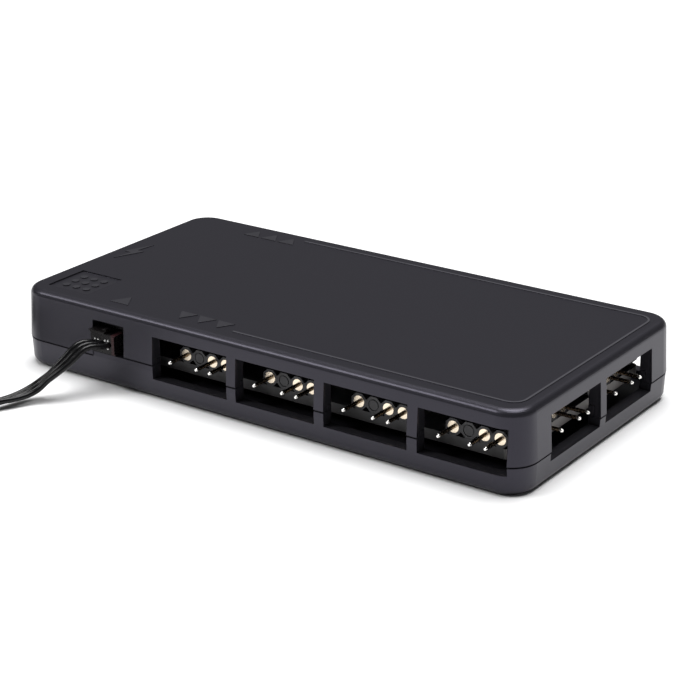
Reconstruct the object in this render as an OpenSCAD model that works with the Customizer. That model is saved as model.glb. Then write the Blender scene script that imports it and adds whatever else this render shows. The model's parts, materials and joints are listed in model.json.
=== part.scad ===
/* [Case] */
// Length of the case along its long side
case_l = 92.5; // [92.3:0.1:93]
// Width of the case from front to back
case_w = 47; // [46.8:0.1:47.6]
// Height of the case
case_h = 12.8; // [12.8:0.1:16]
// Radius of the upright corners
corner_r = 4.5; // [3.5:0.1:6]
// Height of the seam between the two shells along the rows of windows
seam_z = 5.4; // [5.3:0.1:5.8]
// Height of the seam round the corners and the ends
corner_seam_z = 4.5; // [4.2:0.1:4.8]
// Thickness of the side walls
wall = 2.1; // [1.6:0.1:2.2]
// Thickness of the roof and the floor
plate_t = 2; // [1.6:0.1:2]
// Radius along the top edge
top_edge_r = 1.2; // [0.8:0.1:1.6]
// Radius along the bottom edge
bottom_edge_r = 1.3; // [0.8:0.1:2]
// Slope of the walls in degrees
draft = 3; // [1:0.5:3.5]
// How far the lower shell stands back at the seam
seam_step = 0.08; // [0.05:0.01:0.3]
// Depth of the groove along the seam
groove_d = 0.35; // [0.2:0.05:0.5]
// Height of the groove along the seam
groove_h = 0.2; // [0.1:0.05:0.4]
// Height of the lip that lines the two shells up
lip_h = 0.8; // [0.5:0.1:1]

/* [Windows] */
// Distance between neighbouring windows
window_pitch = 16; // [15.9:0.05:16.1]
// Width of an output window
window_w = 14.3; // [12:0.1:14.4]
// Sill of an output window
window_sill = 3.2; // [2.9:0.1:3.4]
// Top of an output window
window_top = 10.1; // [9.6:0.1:10.4]
// Distance from the right end to the first front window's centre
first_window = 9.7; // [9.6:0.05:9.9]
// Width of the input window
input_w = 6.3; // [6.2:0.1:7]
// Top of the input window
input_top = 10.4; // [10:0.1:10.6]

/* [Output headers] */
// Distance between neighbouring pins
pin_pitch = 2.54; // [2.5:0.01:2.54]
// Distance from the case's outer face to a header's face
header_setback = 4.3; // [4.2:0.1:5]
// Depth of a header's moulding
header_depth = 2.8; // [2:0.1:3.5]
// Diameter of a pin
pin_d = 0.6; // [0.5:0.05:0.7]
// Diameter of a pin's shoulder
shoulder_d = 1.8; // [1.4:0.1:2]
// Distance from the outer face to a pin's tip
tip_setback = 0.2; // [0.1:0.05:1]

/* [Circuit board] */
// Height of the board's top face
board_top = 5.3; // [5.2:0.1:5.4]
// Thickness of the board
board_t = 1.6; // [1.2:0.1:1.6]

/* [Power inlet] */
// Width of the power inlet's moulding
inlet_w = 25; // [24:0.1:26]
// Depth of the power inlet's moulding
inlet_l = 11; // [10:0.1:12]
// Number of power contacts
inlet_contacts = 15; // [3:1:15]
// Distance between power contacts
inlet_pitch = 1.27; // [1.2:0.01:1.27]

/* [Input lead] */
// Diameter of the bundle of three wires
lead_d = 2; // [1.8:0.05:2.2]
// Width of the lead's plug
plug_w = 4.9; // [4.5:0.1:5]
// Height of the lead's plug
plug_h = 3.2; // [2.8:0.1:3.3]
// How far the plug stands out of the case
plug_out = 0.5; // [0.35:0.05:0.7]
// Distance from the window's middle to the plug's, towards the left
plug_shift = 0.5; // [0.3:0.05:0.5]
// Radius of the coil's outermost turn, at the middle of the bundle
coil_r = 14.5; // [14:0.1:16]
// Turns that lie side by side in the coil
coil_turns = 3.25; // [2:0.25:3.5]
// Width of the connector on the far end
end_w = 10.2; // [9:0.1:11]
// Length of the connector on the far end
end_l = 14; // [12:0.5:16]
// Thickness of the connector on the far end
end_h = 2.6; // [2.4:0.1:3]

/* [Screws] */
// Diameter of the screws' shanks
screw_d = 2; // [1.6:0.1:2.2]
// Diameter of the screws' heads
screw_head_d = 3.8; // [3.4:0.1:4]

/* [Hidden] */
$fn = 48;
eps = 0.01;
half_l = case_l / 2;
half_w = case_w / 2;
gap = 0.02;
fit_gap = 0.1;
shell_color = [0.16, 0.16, 0.17];
plastic_color = [0.1, 0.1, 0.11];
gold_color = [0.9, 0.78, 0.55];
wire_color = [0.04, 0.04, 0.045];

// Where the ports are: each has the turn about the vertical, the place along
// that side and the distance from the middle of the case to the outer face.
// Seen from outside, the place grows to the right.
row_x = half_l - first_window;
front_ports = [for (i = [0:3]) [0, row_x - i * window_pitch, half_w]];
end_ports = [for (s = [-1, 1]) [90, s * window_pitch / 2, half_l]];
back_ports = [for (i = [0:4]) [180, -row_x + i * window_pitch, half_w]];
ports = concat(front_ports, end_ports, back_ports);
input_port = [0, row_x - 4 * window_pitch, half_w];
plug_place = [0, input_port[1] - plug_shift, half_w];
inlet_port = [-90, 0, half_l];

out_count = len(ports);
header_nodes = [for (i = [1:out_count]) str("out_header_", i)];
pin_nodes = [for (i = [1:out_count]) str("out_pins_", i)];

// Header pins: four positions, of which the second holds no pin
pin_places = [0, 2, 3];
blank_place = 1;
pin_z = board_top + pin_pitch / 2;
shoulder_t = 0.8;
bend_r = 0.6;
tail_y = header_setback + header_depth + 1.2;
board_z = board_top - board_t;
tail_z = board_z - 1.2;
function pin_x(k) = (k - 1.5) * pin_pitch;

// Input header and plug
in_wall = 0.6;
in_floor = 0.25;
in_pitch = 1.25;
in_pin = 0.4;
in_front = wall + fit_gap;
in_depth = 6.8;
in_mouth = 5;
in_mouth_w = plug_w + 2 * fit_gap;
in_z = board_top + in_floor;
in_h = plug_h + 2 * fit_gap;
pin_start = in_front + 1.6;
plug_z = in_z + fit_gap;
wire_hole_d = 0.96;
wire_hole_l = 1.2;
contact_side = 0.5;
ledge_w = 3.15;
ledge_z = plug_z + plug_h + 0.15;
ledge_t = 0.25;
ledge_out = plug_out + 0.4;
ledge_in = 2;
stem_w = 1.6;
bump_w = 0.7;
bump_h = 0.35;
rib_w = 0.45;
rib_out = 0.2;
rib_inset = 0.2;
plug_mid = plug_z + plug_h / 2;
in_tail = in_front + in_depth + 1;

// Power inlet
inlet_wall = 0.8;
inlet_setback = 0.5;
inlet_z = board_top;
inlet_h = 5.3;
tongue_w = 20.6;
tongue_t = 1.25;
tongue_z = inlet_z + 1.9;
contact_w = 0.84;
contact_t = 0.15;

// Lip of the lower shell, which stands inside the upper one
lip_t = 0.9;
lip_top = seam_z + lip_h;

// Screws: two near the right end and two between the inlet and the chip
screw_x = [-22, 33.2];
screw_y = 10.5;
screw_post_d = 6.4;
screw_boss_d = 5;
screw_head_t = 1.3;
screw_sink = 1.6;
slot_l = 2.2;
slot_w = 0.5;
slot_t = 0.7;
screw_top = 9.6;

// Sunk square and raised trim line on the roof
badge_x = -38.45;
badge_y = -15.9;
badge_size = 8.3;
badge_depth = 0.25;
trim_inset_x = 2.45;
trim_inset_y = 3.25;
trim_r = 2.4;
trim_w = 0.35;
trim_rise = 0.12;
trim_start_front = -5.4;
trim_start_back = -21.4;

// Route of the lead from the plug to the coil: points of its middle line
lead_r = lead_d / 2;
coil_at = [-54, -46];
plug_face_y = -half_w - plug_out;
lead_route = [
    [plug_place[1], plug_face_y, plug_mid],
    [plug_place[1], plug_face_y - 0.9, plug_mid],
    [-28.4, -26, 7.1],
    [-29, -27.5, 6.8],
    [-29.6, -29.1, 6.1],
    [-30.3, -30.6, 5.1],
    [-31.2, -31.8, 3.9],
    [-32.2, -32.7, 2.8],
    [-33.1, -33.9, 1.8],
    [-33.9, -35.6, 1.2],
    [-34.6, -37.5, lead_r],
    [-35.4, -39.5, lead_r],
    [-36.6, -42.6, lead_r]
];
end_at = [coil_at[0] - coil_r, coil_at[1] + 13.5];
lead_end_route = [
    [end_at[0], end_at[1] - 5, 2.4],
    [end_at[0], end_at[1] - 3.4, 1.9],
    [end_at[0], end_at[1] - 2, 1.5],
    [end_at[0], end_at[1] - 0.8, end_h / 2],
    [end_at[0], end_at[1], end_h / 2]
];

// The wall's outline from the seam to the far face: pairs of the distance in
// from the widest place and the height. The last stretch is a quarter circle.
arc_steps = 8;
function wall_line(z_seam, z_far, step, edge_r) =
    let (s = sign(z_far - z_seam))
    let (z_arc = z_far - s * edge_r)
    let (lean = abs(z_arc - z_seam) * tan(draft))
    concat(
        [[step, z_seam]],
        [for (i = [0:arc_steps]) let (a = 90 * i / arc_steps)
            [step + lean + edge_r * (1 - cos(a)), z_arc + s * edge_r * sin(a)]]
    );

// Half of a shell's section, from a line that lies r inside the widest place
module rim_section(line, r) {
    last = line[len(line) - 1];
    polygon(concat([[0, line[0][1]]], [for (p = line) [r - p[0], p[1]]], [[0, last[1]]]));
}

// A solid block with round corners whose walls follow the given line
module drafted_block(line) {
    last = len(line) - 1;
    rotate([90, 0, 0])
        linear_extrude(2 * (half_w - corner_r), center = true)
            polygon(concat(
                [for (p = line) [half_l - p[0], p[1]]],
                [for (i = [last:-1:0]) [line[i][0] - half_l, line[i][1]]]
            ));
    for (side = [0, 1])
        mirror([0, side, 0])
            translate([0, half_w - corner_r, 0])
                rotate([90, 0, 90])
                    linear_extrude(2 * (half_l - corner_r), center = true)
                        rim_section(line, corner_r);
    for (turn = [0:90:270])
        let (sx = (turn == 0 || turn == 270) ? 1 : -1)
        let (sy = turn < 180 ? 1 : -1)
            translate([sx * (half_l - corner_r), sy * (half_w - corner_r), 0])
                rotate([0, 0, turn])
                    rotate_extrude(angle = 90)
                        rim_section(line, corner_r);
}

// A rectangle with round corners
module round_rect(l, w, r) {
    square([l - 2 * r, w], center = true);
    square([l, w - 2 * r], center = true);
    for (sx = [-1, 1])
        for (sy = [-1, 1])
            translate([sx * (l / 2 - r), sy * (w / 2 - r)])
                circle(r);
}

// The case's plan, drawn in by a distance
module inner_plan(inset) {
    round_rect(case_l - 2 * inset, case_w - 2 * inset, corner_r - inset / 2);
}

// Puts its children at a port: y = 0 is the outer face and +Y goes inwards
module at_port(port) {
    rotate([0, 0, port[0]])
        translate([port[1], -port[2], 0])
            children();
}

// The space that a window leaves in a wall
module window_space(w, z_low, z_high) {
    translate([-w / 2, -1, z_low])
        cube([w, wall + 1.5, z_high - z_low]);
}

module all_windows() {
    for (port = ports)
        at_port(port)
            window_space(window_w, window_sill, window_top);
    at_port(input_port)
        window_space(input_w, seam_z - fit_gap, input_top);
    at_port(inlet_port)
        window_space(inlet_w + 2 * fit_gap, inlet_z - fit_gap, inlet_z + inlet_h + fit_gap);
}

// The stretches of the front and the back where the seam is higher
module along_rows(z_low, z_high) {
    start = input_port[1] - input_w / 2;
    for (turn = [0, 180])
        rotate([0, 0, turn])
            translate([start, -half_w - 1, z_low])
                cube([row_x - start, wall + 1, z_high - z_low]);
}

module groove_ring(z) {
    translate([0, 0, z - groove_h / 2])
        linear_extrude(groove_h)
            difference() {
                square([2 * case_l, 2 * case_w], center = true);
                inner_plan(groove_d);
            }
}

// Groove that runs along the seam
module seam_groove() {
    difference() {
        groove_ring(corner_seam_z);
        along_rows(0, case_h);
    }
    intersection() {
        groove_ring(seam_z);
        along_rows(0, case_h);
    }
}

module at_screws() {
    for (x = screw_x)
        for (y = [-screw_y, screw_y])
            translate([x, y, 0])
                children();
}

// Thin line that runs round the right half of the roof
module trim_line() {
    trim_l = case_l - 2 * trim_inset_x;
    trim_wd = case_w - 2 * trim_inset_y;
    difference() {
        round_rect(trim_l, trim_wd, trim_r);
        round_rect(trim_l - 2 * trim_w, trim_wd - 2 * trim_w, trim_r - trim_w);
        translate([-case_l, -case_w])
            square([case_l + trim_start_front, case_w]);
        translate([-case_l, 0])
            square([case_l + trim_start_back, case_w]);
    }
}

module upper_shell() {
    cavity_top = case_h - plate_t;
    color(shell_color)
        difference() {
            union() {
                drafted_block(wall_line(corner_seam_z, case_h, 0, top_edge_r));
                translate([0, 0, case_h - eps])
                    linear_extrude(trim_rise + eps)
                        trim_line();
            }
            along_rows(0, seam_z);
            seam_groove();
            difference() {
                translate([0, 0, corner_seam_z - 1])
                    linear_extrude(cavity_top - corner_seam_z + 1)
                        inner_plan(wall);
                at_screws()
                    translate([0, 0, board_top])
                        cylinder(h = case_h - board_top, d = screw_boss_d);
            }
            translate([0, 0, corner_seam_z - 1])
                linear_extrude(lip_top - corner_seam_z + fit_gap + 1)
                    inner_plan(wall - lip_t - fit_gap);
            all_windows();
            at_screws()
                translate([0, 0, board_top - 1])
                    cylinder(h = screw_top - board_top + 1.2, d = screw_d + gap);
            translate([badge_x - badge_size / 2, badge_y - badge_size / 2, case_h - badge_depth])
                cube([badge_size, badge_size, 1]);
        }
}

module lower_shell() {
    color(shell_color)
        difference() {
            union() {
                drafted_block(wall_line(corner_seam_z, 0, seam_step, bottom_edge_r));
                intersection() {
                    drafted_block(wall_line(corner_seam_z, case_h, seam_step, top_edge_r));
                    along_rows(0, seam_z);
                }
                translate([0, 0, corner_seam_z - 1])
                    linear_extrude(lip_top - corner_seam_z + 1)
                        inner_plan(wall - lip_t);
            }
            seam_groove();
            difference() {
                translate([0, 0, plate_t])
                    linear_extrude(case_h)
                        inner_plan(wall);
                at_screws()
                    cylinder(h = board_z, d = screw_post_d);
            }
            all_windows();
            at_screws() {
                translate([0, 0, -1])
                    cylinder(h = screw_sink + 1, d = screw_head_d + 0.4);
                cylinder(h = case_h, d = screw_d + 0.3);
            }
        }
}

module case_screws() {
    color("silver")
        at_screws() {
            translate([0, 0, screw_sink])
                cylinder(h = screw_top - screw_sink, d = screw_d);
            translate([0, 0, screw_sink - screw_head_t])
                difference() {
                    cylinder(h = screw_head_t, d = screw_head_d);
                    for (turn = [0, 90])
                        rotate([0, 0, turn])
                            translate([-slot_l / 2, -slot_w / 2, -1])
                                cube([slot_l, slot_w, slot_t + 1]);
                }
        }
}

module circuit_board() {
    board_inset = header_setback;
    color("black")
        difference() {
            translate([0, 0, board_z])
                linear_extrude(board_t)
                    round_rect(case_l - 2 * board_inset, case_w - 2 * board_inset, 1);
            for (port = ports)
                at_port(port)
                    for (k = pin_places)
                        translate([pin_x(k), tail_y, 0])
                            cylinder(h = case_h, d = pin_d + 2 * gap);
            at_port(plug_place)
                for (k = [-1:1])
                    translate([k * in_pitch, in_tail, 0])
                        cylinder(h = case_h, d = in_pin + 2 * gap);
            at_screws()
                cylinder(h = case_h, d = screw_d + 0.4);
        }
}

// Moulded strip of four eight-sided barrels with a counterbored hole for
// each pin, and a plain ring where the blank position is
module out_header() {
    flat_d = pin_pitch / cos(22.5);
    color(plastic_color)
        difference() {
            for (k = [0:3])
                translate([pin_x(k), header_setback, pin_z])
                    rotate([-90, 0, 0])
                        rotate([0, 0, 22.5])
                            cylinder(h = header_depth, d = flat_d, $fn = 8);
            for (k = pin_places)
                translate([pin_x(k), header_setback - 1, pin_z])
                    rotate([-90, 0, 0]) {
                        cylinder(h = header_depth + 2, d = pin_d + 2 * gap);
                        cylinder(h = shoulder_t + 1, d = shoulder_d + 2 * gap);
                    }
            translate([pin_x(blank_place), header_setback - 1, pin_z])
                rotate([-90, 0, 0])
                    difference() {
                        cylinder(h = 1.15, d = shoulder_d);
                        cylinder(h = 1.15, d = shoulder_d - 0.25);
                    }
        }
}

// Turned pin with a shoulder, bent down through the board behind the header
module turned_pin() {
    r = pin_d / 2;
    shoulder_end = header_setback + shoulder_t;
    translate([0, 0, pin_z])
        rotate([-90, 0, 0])
            rotate_extrude()
                polygon([
                    [0, tip_setback],
                    [r - 0.12, tip_setback],
                    [r, tip_setback + 0.2],
                    [r, header_setback],
                    [shoulder_d / 2, header_setback],
                    [shoulder_d / 2, shoulder_end],
                    [r, shoulder_end],
                    [r, tail_y - bend_r],
                    [0, tail_y - bend_r]
                ]);
    translate([0, tail_y - bend_r, pin_z - bend_r])
        rotate([90, 0, 90])
            rotate_extrude(angle = 90)
                translate([bend_r, 0])
                    circle(r);
    translate([0, tail_y, tail_z])
        cylinder(h = pin_z - bend_r - tail_z, r = r);
}

module out_pins() {
    color(gold_color)
        for (k = pin_places)
            translate([pin_x(k), 0, 0])
                turned_pin();
}

// Shrouded header for the lead's plug, open to the front
module in_header() {
    out_w = in_mouth_w + 2 * in_wall;
    color(plastic_color)
        difference() {
            translate([-out_w / 2, in_front, board_top])
                cube([out_w, in_depth, in_floor + in_h + in_wall]);
            translate([-in_mouth_w / 2, in_front - 1, in_z])
                cube([in_mouth_w, in_mouth + 1, in_h]);
            for (k = [-1:1])
                translate([k * in_pitch, 0, plug_mid])
                    rotate([-90, 0, 0])
                        cylinder(h = 20, d = in_pin + 2 * gap);
        }
}

module in_header_pins() {
    color(gold_color)
        for (k = [-1:1])
            translate([k * in_pitch, 0, 0]) {
                translate([0, pin_start, plug_mid])
                    rotate([-90, 0, 0])
                        cylinder(h = in_tail - bend_r - pin_start, d = in_pin);
                translate([0, in_tail - bend_r, plug_mid - bend_r])
                    rotate([90, 0, 90])
                        rotate_extrude(angle = 90)
                            translate([bend_r, 0])
                                circle(d = in_pin);
                translate([0, in_tail, tail_z])
                    cylinder(h = plug_mid - bend_r - tail_z, d = in_pin);
            }
}

// One flat power contact: along the tongue, through the back wall and down
module power_contact() {
    run = inlet_l + 0.8;
    translate([-contact_w / 2, inlet_setback + 1, tongue_z + tongue_t])
        cube([contact_w, run - inlet_setback - 1, contact_t]);
    translate([-contact_w / 2, run - contact_t, board_top])
        cube([contact_w, contact_t, tongue_z + tongue_t - board_top]);
    translate([-contact_w / 2, run, board_top])
        cube([contact_w, 0.8, contact_t]);
}

module power_contacts() {
    color(gold_color)
        for (i = [0:inlet_contacts - 1])
            translate([(i - (inlet_contacts - 1) / 2) * inlet_pitch, 0, 0])
                power_contact();
}

// Drive power socket: an open box with a tongue that has a key at one end
module power_inlet() {
    mouth = inlet_l - 2;
    color(plastic_color)
        difference() {
            translate([-inlet_w / 2, inlet_setback, inlet_z])
                cube([inlet_w, inlet_l - inlet_setback, inlet_h]);
            difference() {
                translate([-inlet_w / 2 + inlet_wall, -1, inlet_z + inlet_wall])
                    cube([inlet_w - 2 * inlet_wall, mouth + 1, inlet_h - 2 * inlet_wall]);
                translate([-tongue_w / 2, inlet_setback + 0.6, tongue_z])
                    cube([tongue_w, inlet_l, tongue_t]);
                translate([tongue_w / 2 - tongue_t, inlet_setback + 0.6, tongue_z])
                    cube([tongue_t, inlet_l, 2.2]);
            }
            power_contacts();
        }
}

module buffer_chip() {
    color(plastic_color)
        translate([-4, -2, board_top + 0.2])
            cube([8.6, 4, 1.5]);
}

// Gull-wing leads: seven on each long side of the chip
module chip_leads() {
    color("silver")
        for (side = [0, 1])
            mirror([0, side, 0])
                for (i = [0:6])
                    translate([-3.5 + i * 1.27 - 0.2, 2, 0])
                        rotate([90, 0, 90])
                            linear_extrude(0.4)
                                polygon([
                                    [0, board_top + 0.9],
                                    [0.45, board_top + 0.9],
                                    [0.45, board_top],
                                    [1, board_top],
                                    [1, board_top + 0.15],
                                    [0.6, board_top + 0.15],
                                    [0.6, board_top + 1.05],
                                    [0, board_top + 1.05]
                                ]);
}

module bulk_capacitors() {
    color("lightgrey")
        for (x = [-20, -13, 12])
            translate([x, 0, board_top]) {
                translate([-2.6, -2.6, 0])
                    cube([5.2, 5.2, 0.6]);
                translate([0, 0, 0.6])
                    cylinder(h = 3.8, d = 5);
            }
}

module chip_capacitors() {
    color("tan")
        for (port = ports)
            at_port(port)
                translate([-2.6, tail_y + 0.9, board_top])
                    cube([1.6, 0.8, 0.6]);
}

module chip_resistors() {
    color("dimgray")
        for (port = ports)
            at_port(port)
                translate([0.2, tail_y + 0.9, board_top])
                    cube([1.6, 0.8, 0.45]);
}

// Plug on the lead: a moulding with a latch ledge above it and a rib at the
// right edge of its rear face
module in_plug() {
    depth = in_front + in_mouth - 0.4 + plug_out;
    at_port(plug_place)
        color("black")
            difference() {
                union() {
                    translate([-plug_w / 2, -plug_out, plug_z])
                        cube([plug_w, depth, plug_h]);
                    translate([-plug_w / 2, -ledge_out, ledge_z])
                        cube([ledge_w, ledge_out + ledge_in, ledge_t]);
                    translate([-plug_w / 2 + (ledge_w - stem_w) / 2, -plug_out + 0.3, plug_z])
                        cube([stem_w, plug_out - 0.3 + ledge_in, ledge_z - plug_z + eps]);
                    translate([ledge_w - plug_w / 2 - bump_w, -plug_out, ledge_z])
                        cube([bump_w, plug_out + ledge_in / 2, ledge_t + bump_h]);
                    translate([plug_w / 2 - rib_w, -plug_out - rib_out, plug_z + rib_inset])
                        cube([rib_w, plug_out + rib_out, plug_h - 2 * rib_inset]);
                }
                for (k = [-1:1])
                    translate([k * in_pitch, -plug_out - 1, plug_mid]) {
                        rotate([-90, 0, 0])
                            cylinder(h = 1 + wire_hole_l, d = wire_hole_d);
                        translate([-contact_side / 2 - gap, 1, -contact_side / 2 - gap])
                            cube([contact_side + 2 * gap, depth + 1, contact_side + 2 * gap]);
                    }
            }
}

module in_plug_contacts() {
    start = wire_hole_l + 0.2 - plug_out;
    end = in_front + in_mouth - 0.6;
    at_port(plug_place)
        color(gold_color)
            for (k = [-1:1])
                translate([k * in_pitch, 0, plug_mid])
                    difference() {
                        translate([-contact_side / 2, start, -contact_side / 2])
                            cube([contact_side, end - start, contact_side]);
                        translate([0, pin_start - 0.2, 0])
                            rotate([-90, 0, 0])
                                cylinder(h = in_mouth, d = in_pin + gap);
                    }
}

// A tube swept along a route. Each ring stands square to the mean direction
// of the two stretches that meet there, and the rings don't twist.
tube_sides = 8;
function unit(v) = v / norm(v);
function ring_way(route, i) =
    let (last = len(route) - 1)
    unit(unit(route[min(i + 1, last)] - route[min(i, last - 1)])
        + unit(route[max(i, 1)] - route[max(i - 1, 0)]));
function ring(at, way, r) =
    let (side = unit(cross([0, 0, 1], way)))
    let (over = cross(way, side))
    [for (j = [0:tube_sides - 1]) let (a = 360 * (j + 0.5) / tube_sides)
        at + r / cos(180 / tube_sides) * (cos(a) * side + sin(a) * over)];

module tube(route, r) {
    last = len(route) - 1;
    points = [for (i = [0:last]) each ring(route[i], ring_way(route, i), r)];
    walls = [for (i = [0:last - 1]) for (j = [0:tube_sides - 1])
        let (k = (j + 1) % tube_sides)
        each [
            [i * tube_sides + j, i * tube_sides + k, (i + 1) * tube_sides + k],
            [i * tube_sides + j, (i + 1) * tube_sides + k, (i + 1) * tube_sides + j]
        ]];
    near_cap = [for (j = [tube_sides - 1:-1:0]) j];
    far_cap = [for (j = [0:tube_sides - 1]) last * tube_sides + j];
    polyhedron(points, concat([near_cap], walls, [far_cap]));
}

module lead_tube() {
    color(wire_color) {
        tube(lead_route, lead_r);
        tube(lead_end_route, lead_r);
    }
}

// The coil as one ring: two layers of turns, side by side
module lead_coil() {
    inner = coil_r - coil_turns * lead_d - lead_r;
    color(wire_color)
        translate([coil_at[0], coil_at[1], 0])
            rotate_extrude()
                translate([inner, 0])
                    square([coil_r + lead_r - inner, 2 * lead_d]);
}

// Puts its children at the far connector: the wires come in at y = 0
module at_end() {
    translate([end_at[0], end_at[1], 0])
        children();
}

module end_sockets(w, from, to) {
    for (k = pin_places)
        translate([pin_x(k) - w / 2, from, (end_h - w) / 2])
            cube([w, to - from, w]);
}

module lead_connector() {
    color("black")
        at_end()
            difference() {
                translate([-end_w / 2, 0, 0])
                    cube([end_w, end_l, end_h]);
                end_sockets(1.3, 1.5, end_l - 1);
                end_sockets(0.8, end_l - 2, end_l + 1);
                for (k = pin_places)
                    translate([pin_x(k) - 0.6, 5, end_h - 0.5])
                        cube([1.2, 2.4, 1]);
            }
}

module lead_contacts() {
    color(gold_color)
        at_end()
            difference() {
                end_sockets(1.2, 1.6, end_l - 1.1);
                end_sockets(0.7, end_l - 8, end_l + 1);
            }
}

upper_shell();
lower_shell();
case_screws();
circuit_board();
for (i = [0:out_count - 1]) {
    at_port(ports[i]) out_header();
    at_port(ports[i]) out_pins();
}
at_port(plug_place) in_header();
at_port(plug_place) in_header_pins();
at_port(inlet_port) power_inlet();
at_port(inlet_port) power_contacts();
buffer_chip();
chip_leads();
bulk_capacitors();
chip_capacitors();
chip_resistors();
in_plug();
in_plug_contacts();
lead_tube();
lead_coil();
lead_connector();
lead_contacts();
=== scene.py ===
import json
import math

import bmesh
import bpy
from mathutils import Matrix, Vector


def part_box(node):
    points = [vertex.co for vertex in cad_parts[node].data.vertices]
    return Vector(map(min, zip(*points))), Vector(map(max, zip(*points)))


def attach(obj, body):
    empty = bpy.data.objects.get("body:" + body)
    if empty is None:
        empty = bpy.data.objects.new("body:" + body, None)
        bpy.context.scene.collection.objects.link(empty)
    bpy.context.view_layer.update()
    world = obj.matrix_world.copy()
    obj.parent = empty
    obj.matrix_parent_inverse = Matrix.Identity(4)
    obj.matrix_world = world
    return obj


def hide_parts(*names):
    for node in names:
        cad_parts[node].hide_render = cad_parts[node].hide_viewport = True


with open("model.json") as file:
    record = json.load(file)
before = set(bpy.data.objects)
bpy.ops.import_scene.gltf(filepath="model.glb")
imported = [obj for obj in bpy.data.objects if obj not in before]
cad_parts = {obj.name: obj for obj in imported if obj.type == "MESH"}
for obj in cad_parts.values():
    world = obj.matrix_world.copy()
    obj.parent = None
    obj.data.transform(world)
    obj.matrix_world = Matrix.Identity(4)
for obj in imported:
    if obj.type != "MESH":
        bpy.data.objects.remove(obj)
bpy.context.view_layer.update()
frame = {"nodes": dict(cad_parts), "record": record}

MM = 0.001
BODY = "root"
nodes = frame["nodes"]
case_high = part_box("upper_shell")[1]

# The case, in metres
LINE_RISE = 0.12 * MM
ROOF = case_high.z - LINE_RISE
CORNER_R = 4.5 * MM
ABOVE_WINDOWS = 10.5 * MM
BELOW_WINDOWS = 3.1 * MM
SEAM_Z = 5.4 * MM
CORNER_SEAM_Z = 4.5 * MM
# Half the height of the band of painted shadow round the seam's groove
SEAM_SHADE = 0.17 * MM
# From where to where the seam stays high, in x along the back
BACK_ROW = (-36.55 * MM, 30.6 * MM)

# The sunk square on the roof, in mm
BADGE_AT = (-38.45, -15.9)
BADGE_SIZE = 8.3
BADGE_DEPTH = 0.25
BADGE_MARGIN = 0.1


# Camera

CAMERA_AT = Vector((165.21, -234.12, 117.70)) * MM
AZIMUTH, ELEVATION, ROLL = (math.radians(a) for a in (35.54, 21.55, -0.45))
LENS_MM = 101.3
SENSOR_MM = 36
SHIFT_X = 0.0287
CLIP_START = 0.01


def make_camera():
    """Puts the camera where the photograph was taken from."""
    facing = Vector((
        math.sin(AZIMUTH) * math.cos(ELEVATION),
        -math.cos(AZIMUTH) * math.cos(ELEVATION),
        math.sin(ELEVATION),
    ))
    level = Vector((math.cos(AZIMUTH), math.sin(AZIMUTH), 0))
    rise = facing.cross(level)
    right = math.cos(ROLL) * level + math.sin(ROLL) * rise
    up = -math.sin(ROLL) * level + math.cos(ROLL) * rise
    data = bpy.data.cameras.new("camera")
    data.lens = LENS_MM
    data.sensor_width = SENSOR_MM
    data.shift_x = SHIFT_X
    data.clip_start = CLIP_START
    camera = bpy.data.objects.new("camera", data)
    turn = Matrix((right, up, facing)).transposed().to_4x4()
    camera.matrix_world = Matrix.Translation(CAMERA_AT) @ turn
    bpy.context.scene.collection.objects.link(camera)
    bpy.context.scene.camera = camera


# Materials

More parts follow.
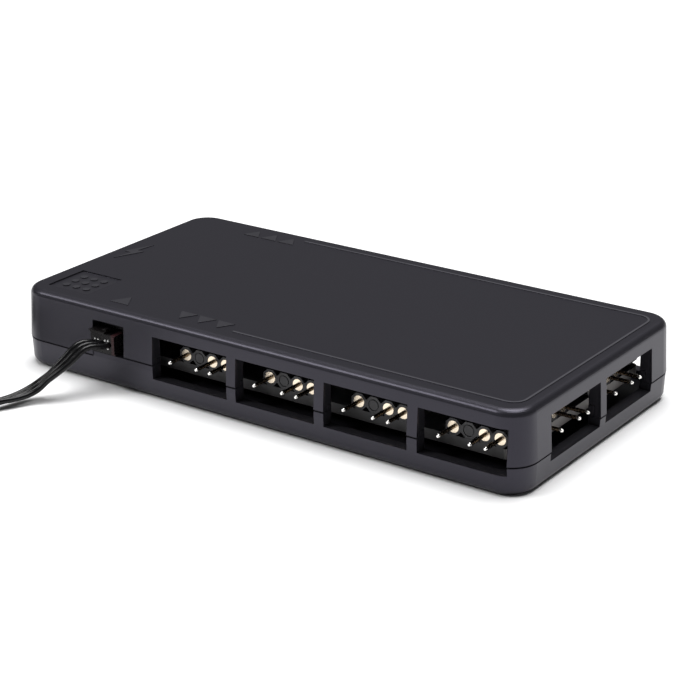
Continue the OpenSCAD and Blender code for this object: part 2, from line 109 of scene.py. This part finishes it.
class Shader:
    """A material's node tree, with short calls to add and join nodes."""

    def __init__(self, name):
        self.material = bpy.data.materials.new(name)
        self.material.use_nodes = True
        self.tree = self.material.node_tree
        self.surface = self.tree.nodes["Principled BSDF"]
        coordinates = self.add("ShaderNodeTexCoord")
        self.place = coordinates.outputs["Object"]
        self.normal = coordinates.outputs["Normal"]

    def add(self, kind, **values):
        """A new node; each value goes to a setting or to an input socket."""
        node = self.tree.nodes.new(kind)
        for key, value in values.items():
            if hasattr(node, key):
                setattr(node, key, value)
            else:
                node.inputs[key.replace("_", " ")].default_value = value
        return node

    def join(self, output, target):
        self.tree.links.new(output, target)

    def feed(self, value, target):
        """Joins an output to a socket, or sets the socket to a plain value."""
        if isinstance(value, bpy.types.NodeSocket):
            self.join(value, target)
        else:
            target.default_value = value

    def set(self, **values):
        """Uniform values, straight on the surface's own sockets."""
        for key, value in values.items():
            self.surface.inputs[key.replace("_", " ")].default_value = value

    def noise(self, grain_mm, detail=3, roughness=0.55, stretch=(1, 1, 1)):
        """Noise whose blobs are about grain_mm across."""
        mapping = self.add("ShaderNodeMapping")
        mapping.inputs["Scale"].default_value = stretch
        self.join(self.place, mapping.inputs["Vector"])
        noise = self.add(
            "ShaderNodeTexNoise",
            Scale=1 / (grain_mm * MM), Detail=detail, Roughness=roughness,
        )
        self.join(mapping.outputs["Vector"], noise.inputs["Vector"])
        return noise.outputs["Fac"]

    def map_range(self, factor, **limits):
        spread = self.add("ShaderNodeMapRange", **limits)
        self.join(factor, spread.inputs["Value"])
        return spread.outputs["Result"]

    def contrast(self, factor, low, high):
        """Stretches the part of a factor between low and high over 0..1."""
        return self.map_range(factor, From_Min=low, From_Max=high)

    def ramp(self, factor, low, high):
        """Maps a factor from 0..1 to a colour or a number between low and high."""
        if isinstance(low, tuple):
            return self.blend(factor, low, high)
        return self.map_range(factor, To_Min=low, To_Max=high)

    def math(self, operation, a, b=0.0):
        """A number worked out from two outputs or numbers."""
        node = self.add("ShaderNodeMath", operation=operation)
        self.feed(a, node.inputs[0])
        self.feed(b, node.inputs[1])
        return node.outputs[0]

    def above(self, value, limit):
        return self.math("GREATER_THAN", value, limit)

    def below(self, value, limit):
        return self.math("LESS_THAN", value, limit)

    def both(self, a, b):
        """Where both of two masks are."""
        return self.math("MULTIPLY", a, b)

    def either(self, a, b):
        """The larger of two numbers, or where one of two masks is."""
        return self.math("MAXIMUM", a, b)

    def vector(self, operation, a, b=(0, 0, 0)):
        """A vector, or its length, worked out from outputs or triples."""
        node = self.add("ShaderNodeVectorMath", operation=operation)
        self.feed(a, node.inputs[0])
        self.feed(b, node.inputs[1])
        return node.outputs["Value" if operation == "LENGTH" else "Vector"]

    def parts(self, vector):
        """The x, y and z of a vector output."""
        split = self.add("ShaderNodeSeparateXYZ")
        self.join(vector, split.inputs[0])
        return split.outputs

    def facing(self, axis):
        """How squarely a face looks along x, y or z (0, 1 or 2), either way."""
        return self.math("ABSOLUTE", self.parts(self.normal)[axis])

    def blend(self, factor, a, b):
        """Mixes two colours, each an output or three numbers."""
        mix = self.add("ShaderNodeMix", data_type="RGBA")
        self.join(factor, mix.inputs[0])
        for value, socket in ((a, mix.inputs[6]), (b, mix.inputs[7])):
            self.feed((*value, 1) if isinstance(value, tuple) else value, socket)
        return mix.outputs[2]

    def paint(self, output):
        self.join(output, self.surface.inputs["Base Color"])

    def colour(self, factor, low, high):
        self.paint(self.ramp(factor, low, high))

    def roughness(self, factor, low, high):
        self.join(self.ramp(factor, low, high), self.surface.inputs["Roughness"])

    def bump(self, *layers, edge_mm=0):
        """Bump from pairs of (factor, depth in mm); edge_mm rounds sharp edges for the light."""
        normal = None
        if edge_mm:
            bevel = self.add("ShaderNodeBevel", samples=4, Radius=edge_mm * MM)
            normal = bevel.outputs["Normal"]
        for factor, depth_mm in layers:
            bump = self.add("ShaderNodeBump", Strength=1.0, Distance=depth_mm * MM)
            self.join(factor, bump.inputs["Height"])
            if normal:
                self.join(normal, bump.inputs["Normal"])
            normal = bump.outputs["Normal"]
        self.join(normal, self.surface.inputs["Normal"])


# How far from a corner's axis the look of the windows' inside, darker by painted shade, ends
# and the look of the outer skin begins
INSIDE_TO = CORNER_R - 0.9 * MM
SKIN_FROM = CORNER_R - 0.4 * MM
# Over this height under the roof, its painted shade and extra dullness fade in
ROOF_FADE = 0.25 * MM
BADGE_FROM = ROOF - 0.1 * MM
SHELL_TONES = {
    "skin": ((0.0105, 0.0102, 0.0128), (0.0125, 0.0122, 0.015)),
    # Painted shade: the roof's darker colour
    "roof": (0.0088, 0.0086, 0.0108),
    # Painted shade: the faces inside the windows are darker
    "inside": (0.0085, 0.0085, 0.0093),
    "badge": (0.0165, 0.016, 0.0195),
    # Painted shadow: the seam's near-black colour
    "seam": (0.002, 0.002, 0.0022),
    # Painted highlight: the raised line's lighter top
    "line": (0.045, 0.0445, 0.05),
}
CLOUD_SPREAD = (0.3, 0.7)
INSIDE_DULLNESS = 0.4
ROOF_DULLNESS = 0.1


def skin_mask(s, z):
    """1 on the case's outer faces, and 0 on the faces inside its windows."""
    # The core is 1 m high, so that only x and y count
    core = (case_high.x - CORNER_R, case_high.y - CORNER_R, 1)
    beyond = s.vector("SUBTRACT", s.vector("ABSOLUTE", s.place), core)
    reach = s.vector("LENGTH", s.vector("MAXIMUM", beyond, (0, 0, 0)))
    plates = s.either(s.above(z, ABOVE_WINDOWS), s.below(z, BELOW_WINDOWS))
    return s.either(s.contrast(reach, INSIDE_TO, SKIN_FROM), plates)


def badge_mask(s, z):
    """1 in the sunk square on the roof."""
    middle = [v * MM for v in (*BADGE_AT, 0)]
    away = s.vector("ABSOLUTE", s.vector("SUBTRACT", s.place, middle))
    away_x, away_y, _ = s.parts(away)
    in_square = s.below(s.either(away_x, away_y), (BADGE_SIZE / 2 + BADGE_MARGIN) * MM)
    return s.both(in_square, s.both(s.below(z, BADGE_FROM), s.above(z, ABOVE_WINDOWS)))


def seam_mask(s, x, y, z):
    """1 in and round the groove between the shells, which runs lower round the corners: the band
    that gets the seam's painted shadow.
    """
    along = s.math("MULTIPLY", x, s.math("SIGN", y))
    on_row = s.both(s.above(along, BACK_ROW[0]), s.below(along, BACK_ROW[1]))
    step = s.math("MULTIPLY", on_row, SEAM_Z - CORNER_SEAM_Z)
    seam_z = s.math("ADD", step, CORNER_SEAM_Z)
    return s.below(s.math("ABSOLUTE", s.math("SUBTRACT", z, seam_z)), SEAM_SHADE)


def shell_plastic():
    """Black moulding with a fine sparked texture and a slight violet cast.

    The roof, the faces inside the windows and the seam are duller than the side
    faces and carry painted shade: the roof and the window insides are darker, and
    the seam is a near-black painted shadow. The sunk square is lighter, and the
    raised line's top has a painted highlight.
    """
    s = Shader("shell_plastic")
    tones = SHELL_TONES
    grain = s.noise(0.28, detail=4, roughness=0.6)
    cloud = s.noise(9, detail=2)
    x, y, z = s.parts(s.place)
    skin = skin_mask(s, z)
    seam = seam_mask(s, x, y, z)
    on_roof = s.contrast(z, ROOF - ROOF_FADE, ROOF)
    # Where the raised line's top gets its painted highlight
    line_top_highlight = s.above(z, ROOF + LINE_RISE / 2)

    shade = s.ramp(s.contrast(cloud, *CLOUD_SPREAD), *tones["skin"])
    # Painted shade: the roof is darker
    shade = s.blend(on_roof, shade, tones["roof"])
    # Painted shade inside the windows
    shade = s.blend(skin, tones["inside"], shade)
    shade = s.blend(badge_mask(s, z), shade, tones["badge"])
    # Painted shadow in and round the seam's groove
    shade = s.blend(seam, shade, tones["seam"])
    # Painted highlight on the raised line's top
    s.paint(s.blend(line_top_highlight, shade, tones["line"]))

    dull = s.either(seam, s.math("SUBTRACT", 1.0, skin))
    rough = s.ramp(grain, 0.27, 0.37)
    rough = s.math("ADD", rough, s.math("MULTIPLY", dull, INSIDE_DULLNESS))
    rough = s.math("ADD", rough, s.math("MULTIPLY", on_roof, ROOF_DULLNESS))
    s.join(rough, s.surface.inputs["Roughness"])
    s.set(Specular_IOR_Level=0.44, Specular_Tint=(0.84, 0.8, 1.0, 1))
    s.bump((cloud, 0.02), (grain, 0.006), edge_mm=0.08)
    return s.material


def header_plastic():
    """Smooth black moulding of the pin strips."""
    s = Shader("header_plastic")
    grain = s.noise(0.2)
    s.colour(grain, (0.03, 0.029, 0.032), (0.044, 0.043, 0.046))
    s.roughness(grain, 0.36, 0.5)
    s.bump((grain, 0.008), edge_mm=0.06)
    return s.material


def board_mask():
    """Black solder mask over a woven core, grey along the rows, and pale at
    the sawn ends: painted light on the faces that look along x."""
    s = Shader("board_mask")
    weave = s.noise(0.16, detail=5, roughness=0.7, stretch=(1, 1, 6))
    grey = s.ramp(weave, (0.035, 0.035, 0.037), (0.075, 0.073, 0.075))
    # Painted light: the pale core of the faces that look along x
    painted_light_pale = s.ramp(weave, (0.3, 0.285, 0.28), (0.46, 0.44, 0.43))
    mask = s.ramp(weave, (0.012, 0.012, 0.013), (0.02, 0.02, 0.021))
    # Painted light on the faces that look along x
    core = s.blend(s.facing(0), grey, painted_light_pale)
    s.paint(s.blend(s.facing(2), core, mask))
    s.roughness(weave, 0.4, 0.7)
    s.bump((weave, 0.01), edge_mm=0.05)
    return s.material


# How far behind the case's face the painted highlight on the pins' tips begins and is full
TIP_FROM = 0.75 * MM
TIP_FULL = 0.45 * MM
# How squarely a face looks along the pin on a shaft, at most, and on a shoulder, at least;
# shafts get painted shade and shoulders a painted reflection
SHAFT_FACING = 0.35
SHOULDER_FACING = 0.8


def pin_gold(name, axis, face):
    """Gold on pins that lie along an axis: pale where a face looks along it, as a painted
    reflection, brown and dull along the shafts as painted shade, and nearly white at the tips as
    a painted highlight."""
    s = Shader(name)
    tarnish = s.noise(0.3)
    away = s.math("ABSOLUTE", s.parts(s.place)[axis])
    # Where the painted highlight on the tips lies
    tip_highlight = s.contrast(away, face - TIP_FROM, face - TIP_FULL)
    # Painted shade: the shafts' dark brown
    shaft_painted_shade = s.ramp(tarnish, (0.17, 0.125, 0.085), (0.3, 0.235, 0.16))
    # Painted reflection: the pale gold of faces that look along the pin
    painted_light_pale = s.ramp(tarnish, (0.86, 0.73, 0.56), (0.95, 0.84, 0.68))
    along = s.contrast(s.facing(axis), SHAFT_FACING, SHOULDER_FACING)
    gold = s.blend(along, shaft_painted_shade, painted_light_pale)
    # Painted highlight: the tips nearly white
    s.paint(s.blend(tip_highlight, gold, (0.93, 0.91, 0.87)))
    s.roughness(tarnish, 0.2, 0.34)
    s.set(Metallic=1.0)
    s.bump((tarnish, 0.003), edge_mm=0.03)
    return s.material


def metal(name, low, high, rough, grain_mm=0.35):
    """Bare or plated metal with a faint tarnish."""
    s = Shader(name)
    tarnish = s.noise(grain_mm)
    s.colour(tarnish, low, high)
    s.roughness(tarnish, *rough)
    s.set(Metallic=1.0)
    s.bump((tarnish, 0.003), edge_mm=0.04)
    return s.material


def plastic(name, low, high, rough, shine=0.5):
    """Moulded plastic, epoxy or ceramic with a fine grain."""
    s = Shader(name)
    grain = s.noise(0.3)
    s.colour(grain, low, high)
    s.roughness(grain, *rough)
    s.set(Specular_IOR_Level=shine)
    s.bump((grain, 0.006), edge_mm=0.05)
    return s.material


# Where the plug's red cast begins and is full, in x, and how far its faces may look sideways
RED_FROM = -26.35 * MM
RED_FULL = -26.2 * MM
RED_FACING = 0.6


def plug_plastic():
    """Black moulding with a faint red cast along the right of its rear face."""
    s = Shader("plug_plastic")
    grain = s.noise(0.3)
    rib = s.contrast(s.parts(s.place)[0], RED_FROM, RED_FULL)
    rib = s.both(rib, s.below(s.facing(0), RED_FACING))
    black = s.ramp(grain, (0.0025, 0.0022, 0.0024), (0.005, 0.004, 0.0043))
    red = s.ramp(grain, (0.02, 0.007, 0.0085), (0.045, 0.018, 0.02))
    s.paint(s.blend(rib, black, red))
    s.roughness(grain, 0.22, 0.34)
    s.set(Specular_IOR_Level=0.2)
    s.bump((grain, 0.006), edge_mm=0.05)
    return s.material


def wire_jacket():
    """Glossy extruded jacket with a faint waviness."""
    s = Shader("wire_jacket")
    wave = s.noise(0.5)
    s.colour(wave, (0.003, 0.003, 0.0035), (0.006, 0.006, 0.0066))
    s.roughness(wave, 0.2, 0.3)
    s.set(Specular_IOR_Level=0.22)
    s.bump((wave, 0.006))
    return s.material


def mark_painted_sheen():
    """The shell's plastic as it is on the raised marks, a little lighter: a painted sheen."""
    s = Shader("mark_painted_sheen")
    cloud = s.noise(1.5, detail=2)
    s.colour(cloud, (0.02, 0.0195, 0.0235), (0.025, 0.0245, 0.029))
    s.roughness(cloud, 0.32, 0.42)
    s.set(Specular_IOR_Level=0.45, Specular_Tint=(0.92, 0.9, 1.0, 1))
    s.bump((cloud, 0.004), edge_mm=0.05)
    return s.material


def floor_paper():
    """White paper that the case lies on."""
    s = Shader("floor_paper")
    fibre = s.noise(3, detail=4)
    s.colour(fibre, (0.82, 0.82, 0.824), (0.85, 0.85, 0.854))
    s.set(Roughness=0.9, Specular_IOR_Level=0.1)
    return s.material


MATERIALS = {
    "shell": shell_plastic(),
    # The raised marks' material, lighter by a painted sheen
    "polished": mark_painted_sheen(),
    "header_plastic": header_plastic(),
    "board": board_mask(),
    "gold": metal("gold_plate", (0.95, 0.74, 0.5), (1.0, 0.86, 0.66), (0.2, 0.34)),
    "tin": metal("tin_plate", (0.6, 0.6, 0.6), (0.75, 0.75, 0.74), (0.25, 0.45)),
    "can": metal("can_metal", (0.62, 0.62, 0.63), (0.74, 0.74, 0.75), (0.3, 0.42), 0.8),
    "screw": metal("black_steel", (0.05, 0.05, 0.052), (0.09, 0.09, 0.092), (0.35, 0.5)),
    "chip": plastic("chip_epoxy", (0.012, 0.012, 0.013), (0.024, 0.024, 0.025), (0.5, 0.7)),
    "ceramic_chip": plastic("ceramic_chip", (0.32, 0.22, 0.13), (0.42, 0.3, 0.19), (0.4, 0.55)),
    "resistor": plastic("resistor_coat", (0.012, 0.012, 0.014), (0.03, 0.03, 0.032), (0.3, 0.5)),
    "plug": plug_plastic(),
    "connector": plastic(
        "connector_plastic", (0.009, 0.009, 0.0095), (0.016, 0.016, 0.0165), (0.5, 0.64), 0.3,
    ),
    "wire": wire_jacket(),
}
END_PINS = ("out_pins_5", "out_pins_6")


def dress_nodes():
    """Gives every CAD node the material of its slot, and the output pins the
    gold that knows which way they lie."""
    end_gold = pin_gold("pin_gold_end", 0, case_high.x)
    side_gold = pin_gold("pin_gold_side", 1, case_high.y)
    for row in frame["record"]["subparts"]:
        name = row["node"]
        material = MATERIALS[row["material_slot"]]
        if name.startswith("out_pins_"):
            material = end_gold if name in END_PINS else side_gold
        slots = nodes[name].data.materials
        slots.clear()
        slots.append(material)


# Pieces

def new_piece(name, mesh, material):
    """Turns a bmesh into a piece that rides on the body."""
    data = bpy.data.meshes.new(name)
    bmesh.ops.recalc_face_normals(mesh, faces=mesh.faces)
    mesh.to_mesh(data)
    mesh.free()
    data.materials.append(MATERIALS[material])
    piece = bpy.data.objects.new(name, data)
    bpy.context.scene.collection.objects.link(piece)
    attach(piece, BODY)
    return piece


def join_rings(mesh, near, far):
    """Smooth faces between two rings of vertices."""
    for j in range(len(near)):
        k = (j + 1) % len(near)
        mesh.faces.new((near[j], near[k], far[k], far[j])).smooth = True


# Lead

LEAD_D = 2 * MM
WIRES = 3
WIRE_R = 0.464 * MM
WIRE_SIDES = 12
LINE_STEP = 0.8 * MM
# The wires' distance at the connector, and how long they take to spread there
WIRE_PITCH = 1.25 * MM
FAN_LENGTH = 6.5 * MM
TWIST_PER_M = math.radians(1080)
# From the plug the wires run side by side as a band, which has its pitch
# after BAND_BY, lies above the middle line and sags towards it by a share.
# Between BAND_TO and TRIO_BY they turn into a twisted trio.
BAND_PITCH = 1.2 * MM
BAND_BY = 3.5 * MM
BAND_TO = 10 * MM
TRIO_BY = 30 * MM
BAND_LIFT = 0.85 * MM
SAG = 0.7
PLUG_AT = Vector((-27.95, -24, 7.25)) * MM
COIL_AT = Vector((-54, -46, 0)) * MM
COIL_R = 14.5 * MM
TURNS_PER_LAYER = 3.09
CLIMB_TURNS = 0.25
JOIN_ANGLE = math.radians(-24)
POINTS_PER_TURN = 40
# In mm
LEAD_ROUTE = [
    (-27.95, -24, 7.25),
    (-27.95, -24.9, 7.25),
    (-28.4, -26, 7.1),
    (-29, -27.5, 6.8),
    (-29.6, -29.1, 6.1),
    (-30.3, -30.6, 5.1),
    (-31.2, -31.8, 3.9),
    (-32.2, -32.7, 2.8),
    (-33.1, -33.9, 1.8),
    (-33.9, -35.6, 1.2),
    (-34.6, -37.5, 1),
    (-35.4, -39.5, 1),
    (-36.6, -42.6, 1),
    (-38.6, -47.1, 1),
]
LEAD_END_ROUTE = [
    (-68.5, -43.5, 3.2),
    (-68.5, -40.5, 3.0),
    (-68.5, -37.5, 2.4),
    (-68.5, -35.9, 1.9),
    (-68.5, -34.5, 1.5),
    (-68.5, -33.3, 1.3),
    (-68.5, -32.5, 1.3),
]


def ease(t):
    """A smooth step from 0 to 1 while t goes from 0 to 1."""
    t = min(1, max(0, t))
    return t * t * (3 - 2 * t)


def coil_points():
    """Two layers of turns: inwards on the floor, up, and outwards on top."""
    turns = 2 * TURNS_PER_LAYER + CLIMB_TURNS
    count = round(turns * POINTS_PER_TURN)
    out = []
    for i in range(count + 1):
        t = turns * i / count
        inwards = min(t, TURNS_PER_LAYER)
        outwards = max(0, t - TURNS_PER_LAYER - CLIMB_TURNS)
        climb = ease((t - TURNS_PER_LAYER) / CLIMB_TURNS)
        radius = COIL_R - (inwards - outwards) * LEAD_D
        angle = JOIN_ANGLE - 2 * math.pi * t
        out.append(COIL_AT + Vector((
            radius * math.cos(angle),
            radius * math.sin(angle),
            LEAD_D * (0.5 + climb),
        )))
    return out


def smooth_line(points, step):
    """Points about step apart on a curve through the given ones."""
    out = []
    for i in range(len(points) - 1):
        a = points[max(i - 1, 0)]
        b, c = points[i], points[i + 1]
        d = points[min(i + 2, len(points) - 1)]
        parts = max(1, round((c - b).length / step))
        for j in range(parts):
            t = j / parts
            out.append(0.5 * (
                2 * b + (c - a) * t
                + (2 * a - 5 * b + 4 * c - d) * t * t
                + (3 * b - a - 3 * c + d) * t ** 3
            ))
    out.append(points[-1])
    return out


def lead_line():
    """The middle line of the whole lead, from the plug to the far connector."""
    route = [Vector(p) * MM for p in LEAD_ROUTE]
    end = [Vector(p) * MM for p in LEAD_END_ROUTE]
    return smooth_line(route + coil_points() + end, LINE_STEP)


def across(line, i):
    """The level direction across a line at one of its points, and the one over it."""
    way = (line[min(i + 1, len(line) - 1)] - line[max(i - 1, 0)]).normalized()
    side = Vector((0, 0, 1)).cross(way).normalized()
    return side, way.cross(side)


def spoke(angle, side, over):
    return math.cos(angle) * side + math.sin(angle) * over


def sweep(mesh, line, radius, sides):
    """A closed round tube along a line of points."""
    rings = []
    for i, point in enumerate(line):
        side, over = across(line, i)
        rings.append([
            mesh.verts.new(point + radius * spoke(2 * math.pi * j / sides, side, over))
            for j in range(sides)
        ])
    for near, far in zip(rings, rings[1:]):
        join_rings(mesh, near, far)
    mesh.faces.new(list(reversed(rings[0])))
    mesh.faces.new(rings[-1])


def wire_line(line, which):
    """One wire's own line: side by side with the others near the plug, then
    in a loose trio, and fanned out again at the far connector."""
    run = [0]
    for a, b in zip(line, line[1:]):
        run.append(run[-1] + (b - a).length)
    trio_r = 2 * WIRE_R / math.sqrt(3)
    place = (WIRES - 1) / 2 - which
    out = []
    for i, point in enumerate(line):
        side, over = across(line, i)
        near, far = run[i], run[-1] - run[i]
        angle = 2 * math.pi * which / WIRES + math.pi / 2 + TWIST_PER_M * near
        trio = trio_r * spoke(angle, side, over)
        fan = place * WIRE_PITCH * side
        if far < near:
            out.append(point + fan.lerp(trio, ease(far / FAN_LENGTH)))
            continue
        lift = BAND_LIFT * (1 - SAG * ease((near - BAND_BY) / BAND_BY))
        band = fan.lerp(place * BAND_PITCH * side + lift * over, ease(near / BAND_BY))
        out.append(point + band.lerp(trio, ease((near - BAND_TO) / (TRIO_BY - BAND_TO))))
    return out


def make_lead():
    """The three wires with the strap and the crimps, all as one cord."""
    line = lead_line()
    mesh = bmesh.new()
    for which in range(WIRES):
        sweep(mesh, wire_line(line, which), WIRE_R, WIRE_SIDES)
    lead = new_piece("lead_wires", mesh, "wire")
    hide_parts("lead_tube", "lead_coil")
    # The coil lies where the photo has bare floor, so the case mustn't mirror it
    lead.visible_glossy = False
    tie, crimps = make_tie(), make_crimps()


# In mm: x and z of each crimp, their half sizes, and how far they are sunk in
CRIMPS_AT = [(-29.4, 7.8), (-28.78, 7.82), (-27.42, 7.84), (-26.78, 7.88), (-26.85, 6.6)]
CRIMP_HALF = (0.17, 0.22, 0.17)
CRIMP_SUNK = 0.05


def make_crimps():
    """The rounded ears of the plug's contacts, where they grip the wires."""
    mesh = bmesh.new()
    y = PLUG_AT.y - CRIMP_SUNK * MM
    size = Matrix.Diagonal((*(half * MM for half in CRIMP_HALF), 1))
    for x, z in CRIMPS_AT:
        turn = Matrix.Translation((x * MM, y, z * MM)) @ size
        bmesh.ops.create_icosphere(mesh, subdivisions=2, radius=1, matrix=turn)
    for face in mesh.faces:
        face.smooth = True
    return new_piece("plug_crimps", mesh, "tin")


TIE_ANGLE = math.radians(115)
TIE_WIDTH = 2.2 * MM
TIE_T = 0.35 * MM
TIE_STEPS = 40
TIE_SQUARENESS = 6
# How far the strap presses into the bundles at the sides and at top and bottom
TIE_PRESS = 0.25 * MM
TIE_PRESS_DOWN = 0.36 * MM


def make_tie():
    """A soft strap round the coil's turns."""
    inner = COIL_R - TURNS_PER_LAYER * LEAD_D - 0.5 * LEAD_D
    outer = COIL_R + 0.5 * LEAD_D
    mid, half = (inner + outer) / 2, (outer - inner) / 2 - TIE_PRESS
    mesh = bmesh.new()
    rings = []
    for i in range(TIE_STEPS):
        a = 2 * math.pi * i / TIE_STEPS
        c, s = math.cos(a), math.sin(a)
        # A squared-off loop round the two layers
        reach = 1 / (abs(c) ** TIE_SQUARENESS + abs(s) ** TIE_SQUARENESS) ** (1 / TIE_SQUARENESS)
        ring = []
        # The inner and then the outer face, each with the strap's two edges
        for grow, slide in ((0, -1), (0, 1), (1, 1), (1, -1)):
            r = mid + (half + grow * TIE_T) * c * reach
            z = LEAD_D + (LEAD_D - TIE_PRESS_DOWN + grow * TIE_T) * s * reach
            turn = TIE_ANGLE + slide * TIE_WIDTH / 2 / mid
            place = COIL_AT + Vector((r * math.cos(turn), r * math.sin(turn), z))
            ring.append(mesh.verts.new(place))
        rings.append(ring)
    for near, far in zip(rings, rings[1:] + rings[:1]):
        join_rings(mesh, near, far)
    return new_piece("coil_tie", mesh, "connector")


# Marks on the roof, in mm

MARK_RISE = 0.1
MARK_SUNK = 0.05
INPUT_SIZE = 3.0
OUTPUT_SIZE = 2.6
# In shares of a triangle's size: its tip and base from its middle, and half its base
TIP = 0.55
BASE = 0.45
HALF_BASE = 0.6
INPUT_AT = (-27.5, -19.0)
FRONT_OUTPUT_Y = -18.8
FRONT_OUTPUT_XS = (-15.6, -12.0, -8.4)
BACK_OUTPUT_Y = 18.65
BACK_OUTPUT_XS = (-30.8, -27.2, -23.6)
BOLT = [(-41.2, 4.3), (-43.3, -0.7), (-42.0, -0.7), (-42.6, -4.3), (-40.4, 0.7), (-41.7, 0.7)]
DOT_PITCH = 2.1
DOT_R = 0.62
DOT_SIDES = 20
DOT_RISE = 0.14


def raised_shape(name, outlines, rise=MARK_RISE, floor=ROOF):
    """Low raised shapes from outlines of (x, y) and a rise, all in mm, on a
    floor at a height in metres."""
    mesh = bmesh.new()
    for outline in outlines:
        low = [mesh.verts.new((x * MM, y * MM, floor - MARK_SUNK * MM)) for x, y in outline]
        high = [mesh.verts.new((x * MM, y * MM, floor + rise * MM)) for x, y in outline]
        mesh.faces.new(list(reversed(low)))
        mesh.faces.new(high)
        for i in range(len(low)):
            j = (i + 1) % len(low)
            mesh.faces.new((low[i], low[j], high[j], high[i]))
    # The marks get the material with the painted sheen
    return new_piece(name, mesh, "polished")


def triangle(x, y, size, way):
    """Outline of a triangle of a given size that points along +Y or -Y."""
    return [
        (x, y + way * size * TIP),
        (x - way * size * HALF_BASE, y - way * size * BASE),
        (x + way * size * HALF_BASE, y - way * size * BASE),
    ]


def disc(x, y):
    """Outline of one of the dots in the sunk square."""
    angles = [2 * math.pi * i / DOT_SIDES for i in range(DOT_SIDES)]
    return [(x + DOT_R * math.cos(a), y + DOT_R * math.sin(a)) for a in angles]


def make_marks():
    """Plain signs for the input, both rows of outputs, the power and the badge."""
    front = [triangle(x, FRONT_OUTPUT_Y, OUTPUT_SIZE, -1) for x in FRONT_OUTPUT_XS]
    back = [triangle(x, BACK_OUTPUT_Y, OUTPUT_SIZE, 1) for x in BACK_OUTPUT_XS]
    raised_shape("input_mark", [triangle(*INPUT_AT, INPUT_SIZE, 1)])
    raised_shape("front_output_mark", front)
    raised_shape("back_output_mark", back)
    raised_shape("power_mark", [BOLT])
    steps = [-DOT_PITCH, 0, DOT_PITCH]
    dots = [disc(BADGE_AT[0] + right, BADGE_AT[1] + up) for right in steps for up in steps]
    raised_shape("badge_dots", dots, rise=DOT_RISE, floor=ROOF - BADGE_DEPTH * MM)


# Studio

FLOOR_HALF = 3
FLOOR_SQUARES = 8
WORLD_STRENGTH = 0.1
# Each light's name, the way it shines, its width in degrees and its strength
SUNS = [
    ("overhead", (0.0, -0.19, -1), 46, 4.3),
    ("edge_light", (0.54, 0.49, -0.68), 22, 1.15),
]


def sky_light(name, way, spread, power):
    """An even light from far away, as wide as spread in degrees."""
    data = bpy.data.lights.new(name, "SUN")
    data.energy = power
    data.angle = math.radians(spread)
    lamp = bpy.data.objects.new(name, data)
    lamp.rotation_mode = "QUATERNION"
    lamp.rotation_quaternion = Vector(way).to_track_quat("-Z", "Y")
    bpy.context.scene.collection.objects.link(lamp)


def make_floor():
    """A wide sheet under the case."""
    mesh = bmesh.new()
    bmesh.ops.create_grid(
        mesh, x_segments=FLOOR_SQUARES, y_segments=FLOOR_SQUARES, size=FLOOR_HALF,
    )
    data = bpy.data.meshes.new("floor")
    mesh.to_mesh(data)
    mesh.free()
    data.materials.append(floor_paper())
    floor = bpy.data.objects.new("floor", data)
    bpy.context.scene.collection.objects.link(floor)


def make_studio():
    """The floor, a faint white world and the lights."""
    make_floor()
    world = bpy.data.worlds.new("studio")
    world.use_nodes = True
    background = world.node_tree.nodes["Background"]
    background.inputs["Color"].default_value = (1, 1, 1, 1)
    background.inputs["Strength"].default_value = WORLD_STRENGTH
    bpy.context.scene.world = world
    for sun in SUNS:
        sky_light(*sun)
    bpy.context.scene.view_settings.view_transform = "Standard"


make_camera()
dress_nodes()
make_lead()
make_marks()
make_studio()
